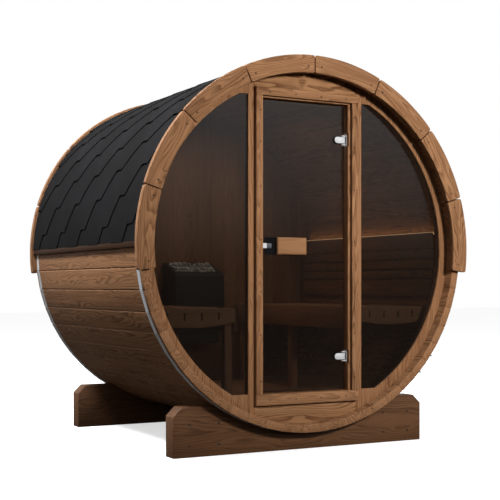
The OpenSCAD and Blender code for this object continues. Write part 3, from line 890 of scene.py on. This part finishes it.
bolt_mid = (latch_low.z + latch_high.z) / 2
bolt_back = latch_high.y - 3.2 * MM
bolt = box_start("latch_bolt", (latch_low.x, latch_low.y, bolt_mid - BOLT_HALF),
                 (latch_low.x + BOLT_LEN, bolt_back, bolt_mid + BOLT_HALF))
select_edges(bolt, lambda a, b: abs(a.x - b.x) > 20 * MM and a.y < latch_low.y + 1 * MM)
bpy.ops.mesh.bevel(offset=4 * MM, segments=4, affect="EDGES")
select_faces(bolt, lambda c, n: n.y < -0.9)
bpy.ops.mesh.inset(thickness=3 * MM, depth=-0.8 * MM)
object_mode()
fitted(finish_with(smooth(ease(bolt, 0.6 * MM)), plain_steel), "door", "hardware_steel", "door_latch")
sleeve = box_start(
    "bolt_sleeve",
    (latch_low.x + BOLT_LEN - 1 * MM, latch_low.y + 0.6 * MM, bolt_mid - SLEEVE_HALF),
    (latch_low.x + SLEEVE_END, bolt_back, bolt_mid + SLEEVE_HALF))
fitted(finish_with(smooth(ease(sleeve, 1.5 * MM)), dull_steel), "door", "hardware_steel")

fitting("door_clips", "door_clip_pair", black_fitting, "hardware_steel", 1.2 * MM, "door")

# steel covers on both faces of the black clips, round at the hinge end
clip_low, clip_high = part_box("door_clips")
clip_heights = (clip_low.z + CLIP_H / 2, clip_high.z - CLIP_H / 2)
round_x = clip_low.x + CLIP_H / 2
covers = []
for z in clip_heights:
    for y0 in (clip_low.y - COVER_T, clip_high.y - 0.2 * MM):
        y1 = y0 + COVER_T + 0.2 * MM
        cover = rod_start("cover", (round_x, (y0 + y1) / 2, z), COVER_H / 2, y1 - y0, "Y", 40)
        cut(cover, (round_x, 0, 0), (1, 0, 0))
        select_faces(cover, lambda c, n: n.x > 0.9)
        reach = (clip_high.x - 3 * MM - round_x, 0, 0)
        bpy.ops.mesh.extrude_region_move(TRANSFORM_OT_translate={"value": reach})
        object_mode()
        covers.append(ease(cover, 0.8 * MM, 2, 50))
fitted(finish_with(smooth(joined(covers, "clip_covers")), plain_steel), "door", "hardware_steel")
fitting("hinge_plates", "hinge_plate_pair", plain_steel, "hardware_steel", 0.6 * MM)


# ---------------------------------------------------------------- screws and nuts
def screw_head(radius, height):
    """A round head with a raised face and a round socket in it, facing the front."""
    obj = rod_start("screw_head", (0, -height / 2, 0), radius, height, "Y", 16)
    select_faces(obj, lambda c, n: n.y < -0.9)
    bpy.ops.mesh.inset(thickness=radius * 0.22, depth=0.12 * height)
    bpy.ops.mesh.inset(thickness=radius * 0.30, depth=0)
    bpy.ops.mesh.inset(thickness=radius * 0.06, depth=-0.7 * height)
    object_mode()
    return smooth(obj, 40)


def set_screws(name, places, radius, finish, slot, height, body="root"):
    """Copies of one screw; each place is a point and the way its head faces."""
    pattern = screw_head(radius, height)
    heads = []
    for point, facing in places:
        head = copied(pattern, "head")
        turn = FORWARD.rotation_difference(Vector(facing)).to_matrix().to_4x4()
        head.matrix_world = Matrix.Translation(Vector(point)) @ turn
        heads.append(settle(head))
    removed(pattern)
    return fitted(finish_with(joined(heads, name), finish), body, slot)


JAMB_SHARES = (0.045, 0.20, 0.345, 0.52, 0.70, 0.85, 0.955)   # of the jamb's height
RAIL_PLACES = (-0.24, -0.08, 0.08, 0.24)  # across the door's head and sill
BLOCK_SHARES = (0.10, 0.90)               # of the way along a trim block
CRADLE_PLACES = (-0.69, -0.52, 0.52, 0.69)
CRADLE_HEIGHTS = (0.06, 0.17)
BAND_DROPS = (2.2, 5.2)                   # degrees below the axis
HEAD_H = 0.8 * MM                         # how far a wood screw's head stands out

jamb_mid = (jamb_high.x + glass_high.x) / 2 + 3 * MM
frame_screws = []
for x in (-jamb_mid, jamb_mid):
    for share in JAMB_SHARES:
        z = jamb_low.z + share * (jamb_high.z - jamb_low.z)
        frame_screws.append(((x, jamb_low.y, z), FORWARD))
for x in RAIL_PLACES:
    frame_screws.append(((x, head_low.y, (head_low.z + head_high.z) / 2), FORWARD))
    frame_screws.append(((x, sill_low.y, (sill_low.z + sill_high.z) / 2), FORWARD))
set_screws("door_frame_screws", frame_screws, 4 * MM, screw_steel, "hardware_steel", HEAD_H)

trim_screws = []
for n in range(TRIM_BLOCKS):
    for share in BLOCK_SHARES:
        angle = -math.pi / 2 - TRIM_DROP + (n + share) * TRIM_STEP
        at = on_rim(TRIM_OUT - TRIM_W * 0.62, angle)
        trim_screws.append(((at.x, trim_low.y, at.z), FORWARD))
        trim_screws.append(((at.x, -trim_low.y, at.z), -FORWARD))
set_screws("trim_screws", trim_screws, 4.5 * MM, screw_steel, "hardware_steel", HEAD_H)

cradle_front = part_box("front_cradle")[0].y
cradle_screws = []
for x in CRADLE_PLACES:
    for z in CRADLE_HEIGHTS:
        cradle_screws.append(((x, cradle_front, z), FORWARD))
        cradle_screws.append(((x, -cradle_front, z), -FORWARD))
set_screws("cradle_screws", cradle_screws, 6 * MM, screw_steel, "hardware_steel", 1.0 * MM)

clip_screws, plate_screws = [], []
for z in clip_heights:
    clip_screws.append(((round_x + 2 * MM, clip_low.y - COVER_T, z), FORWARD))
    for rise in (-25 * MM, 25 * MM):
        at = (plate_high.x - 3 * MM, (plate_low.y + plate_high.y) / 2, z + rise)
        plate_screws.append((at, (-1, 0, 0)))
set_screws("clip_screws", clip_screws, 6.5 * MM, plain_steel, "hardware_steel", 1.6 * MM, "door")
set_screws("plate_screws", plate_screws, 4 * MM, plain_steel, "hardware_steel", 0.9 * MM)

band_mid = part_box("front_band")[0].y + 17.5 * MM   # the middle of the front band's width
band_screws = []
for x in (-1, 1):
    for y in (band_mid, -band_mid):
        for drop in BAND_DROPS:
            a = math.radians(drop)
            out = Vector((x * math.cos(a), 0, -math.sin(a)))
            point = AXIS + out * (BARREL_R + 1.8 * MM)
            point.y = y
            band_screws.append((point, out))
set_screws("band_screws", band_screws, 4.5 * MM, plain_steel, "hardware_steel", 1.2 * MM)

# the bands' tensioners: lugs with eased edges, and a nut on each end of a rod
fitting("band_tensioners", "tensioner_lugs", plain_steel, "hardware_steel", 0.8 * MM)
ROD_RISE = 13 * MM                        # from a band's face to the rod's middle
NUT_T = 7 * MM
lug_mid = math.pi - 7.5 * STAVE_TURN      # from the top round to the right
rod_at = BARREL_R + 2 * SEAM + 1.5 * MM + ROD_RISE
rod_r = rod_at * math.cos(STAVE_TURN / 2)
rod_half = rod_at * math.sin(STAVE_TURN / 2)
nuts = []
for y in (band_mid, -band_mid):
    for away in (-1, 1):
        at = AXIS + Vector((away * (rod_half + 7.2 * MM), y, rod_r))
        nut = ease(rod_start("nut", at, 7.5 * MM, NUT_T, "X", 6), 1 * MM, 2)
        nuts.append(turned(nut, lug_mid, (0, y, AXIS_Z)))
fitted(finish_with(smooth(joined(nuts, "tensioner_nuts")), plain_steel), "root", "hardware_steel")

# ---------------------------------------------------------------- heater
fitting("heater_body", "heater_casing", heater_paint, "heater_casing", 2.5 * MM)
heater_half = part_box("heater_body")[1].x
bed_low, bed_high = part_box("heater_stones")
case_front = bed_low.y - 12.3 * MM        # the casing's wall stands in front of the stones
RIM_DEPTHS = (-144 * MM, -126.5 * MM)     # the rim's lower and upper edge, from the axis
LOUVRES, LOUVRE_DROP, LOUVRE_STEP = 7, 0.30, 0.024
LOUVRE_HALF = 0.11

rim = box_start("heater_rim", (-heater_half - 1 * MM, case_front - 2 * MM, AXIS_Z + RIM_DEPTHS[0]),
                (heater_half + 1 * MM, case_front + 8 * MM, AXIS_Z + RIM_DEPTHS[1]))
select_faces(rim, lambda c, n: n.y < -0.9)
bpy.ops.mesh.inset(thickness=3 * MM, depth=-1.2 * MM)
object_mode()
fitted(finish_with(smooth(ease(rim, 1 * MM)), heater_trim), "root", "heater_casing")

louvres = []
for row in range(LOUVRES):
    z = AXIS_Z - (LOUVRE_DROP + LOUVRE_STEP * row)
    slat = box_start("louvre", (-LOUVRE_HALF, case_front - 3.5 * MM, z - 7 * MM),
                     (LOUVRE_HALF, case_front + 1 * MM, z + 7 * MM))
    select_edges(slat, lambda a, b: abs(a.x - b.x) > 0.1 and a.z > z and a.y < case_front)
    bpy.ops.mesh.bevel(offset=3 * MM, segments=3, affect="EDGES")
    object_mode()
    louvres.append(ease(slat, 0.5 * MM, 1))
fitted(finish_with(smooth(joined(louvres, "heater_louvres")), heater_paint), "root", "heater_casing")


def stone_pattern(name, seed):
    """A crushed stone of unit size: a rough ball with a few broken faces."""
    deselect()
    bpy.ops.mesh.primitive_ico_sphere_add(subdivisions=3, radius=1)
    obj = named(bpy.context.object, name)
    edit(obj, "VERT")
    bpy.ops.mesh.select_all(action="SELECT")
    bpy.ops.transform.vertex_random(offset=0.10, uniform=0.4, normal=0.6, seed=seed)
    bpy.ops.mesh.vertices_smooth(factor=0.6, repeat=2)
    object_mode()
    draw = random.Random(seed)
    for _ in range(5):
        way = Vector([draw.uniform(-1, 1) for _ in range(3)]).normalized()
        cut(obj, way * draw.uniform(0.62, 0.82), way)
    return smooth(ease(obj, 0.08, 2, 25), 40)


STONE_ROWS = (4, 4, 3)                    # rows from front to rear in each layer, lowest first
STONES_ACROSS = 9
LAYER_T = 19 * MM
BED_FRONT, BED_RISE = -130 * MM, 75 * MM  # the bed's top at the front, from the axis, and its rise

patterns = [stone_pattern(f"stone_{n}", 61 + n) for n in range(4)]
pitch = (bed_high.x - bed_low.x - 40 * MM) / (STONES_ACROSS - 0.5)
pile = []
for layer, rows in enumerate(STONE_ROWS):
    for i in range(STONES_ACROSS):
        for j in range(rows):
            stone = copied(chance.choice(patterns), "stone")
            size = chance.uniform(17, 25) * MM
            share = (j + 0.5) / rows
            x = bed_low.x + 20 * MM + (i + 0.5 * (layer % 2)) * pitch
            y = bed_low.y + 16 * MM + share * (bed_high.y - bed_low.y - 32 * MM)
            z = AXIS_Z + BED_FRONT + share * BED_RISE - 42 * MM + layer * LAYER_T
            z += chance.uniform(-3, 3) * MM
            stone.matrix_world = (Matrix.Translation((x + chance.uniform(-4, 4) * MM, y, z))
                                  @ Matrix.Rotation(chance.uniform(0, 6.28), 4, "Z")
                                  @ Matrix.Rotation(chance.uniform(0, 6.28), 4, "X")
                                  @ Matrix.Diagonal((size, size * 0.85, size * 0.7, 1)))
            pile.append(settle(stone))
for pattern in patterns:
    removed(pattern)
fitted(finish_with(joined(pile, "stone_pile"), stones), "root", "stone", "heater_stones")

# ---------------------------------------------------------------- glass, bands and light strips
for node, finish in (
    ("left_window", glass), ("right_window", glass), ("door_glass", glass),
    ("front_band", band_steel), ("rear_band", band_steel), ("backrest_lights", warm_light),
):
    finish_with(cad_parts[node], finish)

# the light strips' diffuser lips and end caps
lamp_low, lamp_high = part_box("backrest_lights")
LAMP_W = 24 * MM
LIP_W, LIP_H = 3 * MM, 6 * MM
inner_x = lamp_high.x - LAMP_W
lips, caps = [], []
for sign in (-1, 1):
    near, far = sorted((sign * inner_x, sign * (inner_x + LIP_W)))
    lips.append(ease(box_start("lip", (near, lamp_low.y + 2 * MM, lamp_high.z - 1 * MM),
                               (far, lamp_high.y - 2 * MM, lamp_high.z + LIP_H)), 0.8 * MM))
    near, far = sorted((sign * (inner_x - 0.1 * MM), sign * (lamp_high.x + 1.5 * MM)))
    for y0, y1 in ((lamp_low.y - 5 * MM, lamp_low.y - SEAM), (lamp_high.y + SEAM, lamp_high.y + 5 * MM)):
        caps.append(ease(box_start("cap", (near, y0, lamp_low.z + 0.2 * MM),
                                   (far, y1, lamp_high.z + LIP_H)), 0.8 * MM))
fitted(finish_with(smooth(joined(lips, "light_lips")), light_lip), "root", "light")
fitted(finish_with(smooth(joined(caps, "light_end_caps")), black_fitting), "root", "light")

# ---------------------------------------------------------------- floor, lights and camera
deselect()
bpy.ops.mesh.primitive_plane_add(size=60, location=(0, 0, 0))
ground = named(bpy.context.object, "ground")
paving = Finish("ground_paint")           # seen pale, but dark to the light that it throws back
spot = paving.noise(paving.add("TexCoord").outputs["Object"], 2.0, 2.0)
path = paving.add("LightPath").outputs["Is Camera Ray"]
pale = paving.ramp(spot, (0.0, (0.80, 0.80, 0.80)), (1.0, (0.84, 0.84, 0.84)))
paving.link(path, paving.shader.inputs["Emission Strength"])
paving.fixed(Emission_Color=(0.62, 0.62, 0.62, 1), Specular_IOR_Level=0.0)
finish_with(ground, paving.wear(paving.mix(path, (0.045, 0.040, 0.036), pale)))

scene = bpy.context.scene
world = bpy.data.worlds.new("studio")
scene.world = world
world.use_nodes = True
sky = next(n for n in world.node_tree.nodes if n.type == "BACKGROUND")
links, nodes = world.node_tree.links, world.node_tree.nodes
height = nodes.new("ShaderNodeSeparateXYZ")
links.new(nodes.new("ShaderNodeTexCoord").outputs["Generated"], height.inputs[0])


def sky_level(low, high, start, end):
    """The sky's strength between two heights of the unit sphere."""
    node = nodes.new("ShaderNodeMapRange")
    for key, value in (("From Min", low), ("From Max", high), ("To Min", start), ("To Max", end)):
        node.inputs[key].default_value = value
    links.new(height.outputs["Z"], node.inputs["Value"])
    return node.outputs[0]


def sky_choice(share, other, chosen):
    """One strength where the share is 0 and another where it is 1."""
    node = nodes.new("ShaderNodeMix")
    links.new(share, node.inputs[0])
    for socket, value in ((node.inputs[2], other), (node.inputs[3], chosen)):
        if isinstance(value, float):
            socket.default_value = value
        else:
            links.new(value, socket)
    return node.outputs[0]


seen = nodes.new("ShaderNodeLightPath")
shine = nodes.new("ShaderNodeMath")
shine.operation = "MULTIPLY"
links.new(sky_level(0.02, 0.19, 0.02, 1.35), shine.inputs[0])   # a bright belt low in the sky
links.new(sky_level(0.28, 0.50, 1.0, 0.25), shine.inputs[1])
level = sky_choice(seen.outputs["Is Glossy Ray"], sky_level(-0.1, 1.0, 0.07, 0.55), shine.outputs[0])
level = sky_choice(seen.outputs["Is Camera Ray"], level, 1.0)
links.new(level, sky.inputs["Strength"])
sky.inputs["Color"].default_value = (1, 1, 1, 1)
scene.view_settings.view_transform = "Standard"


def soft_lamp(name, place, aim, size, power, colour=(1, 1, 1), hidden=False, kind="AREA"):
    """A round lamp that looks at a point; a hidden one shows in no reflection."""
    object_mode()
    bpy.ops.object.light_add(type=kind, location=place)
    lamp = bpy.context.object
    lamp.name = name
    if kind == "AREA":
        lamp.data.shape = "DISK"
        lamp.data.size = size
    else:
        lamp.data.shadow_soft_size = size
    lamp.data.energy = power
    lamp.data.color = colour
    lamp.visible_camera = lamp.visible_glossy = not hidden
    lamp.rotation_euler = (Vector(aim) - Vector(place)).to_track_quat("-Z", "Y").to_euler()
    return lamp


key = soft_lamp("key", (0.75, -5.6, 2.5), (1.0, -0.8, 1.95), 0.35, 1230, hidden=True, kind="SPOT")
key.data.spot_size = math.radians(78)   # its soft edge leaves the lower left darker
key.data.spot_blend = 1.0
soft_lamp("top", (-3.4, 0.2, 6.0), (-0.7, 0, 1.1), 1.6, 720)
soft_lamp("back", (2.6, 6.0, 3.0), (0, 0.8, 1.0), 2.0, 90, hidden=True)
soft_lamp("cabin", (0.0, 0.1, 1.95), (0, 0.1, 1.0), 0.7, 8, (1.0, 0.84, 0.68), hidden=True)

CAMERA_AT, CAMERA_TURN = (-3.117, -5.989, 0.890), -28.17
bpy.ops.object.camera_add(location=CAMERA_AT, rotation=(math.pi / 2, 0, math.radians(CAMERA_TURN)))
camera = bpy.context.object
camera.name = "camera"
camera.data.sensor_width = 36
camera.data.lens = 79.96
camera.data.shift_x = -0.0032
camera.data.shift_y = 0.0716
scene.camera = camera
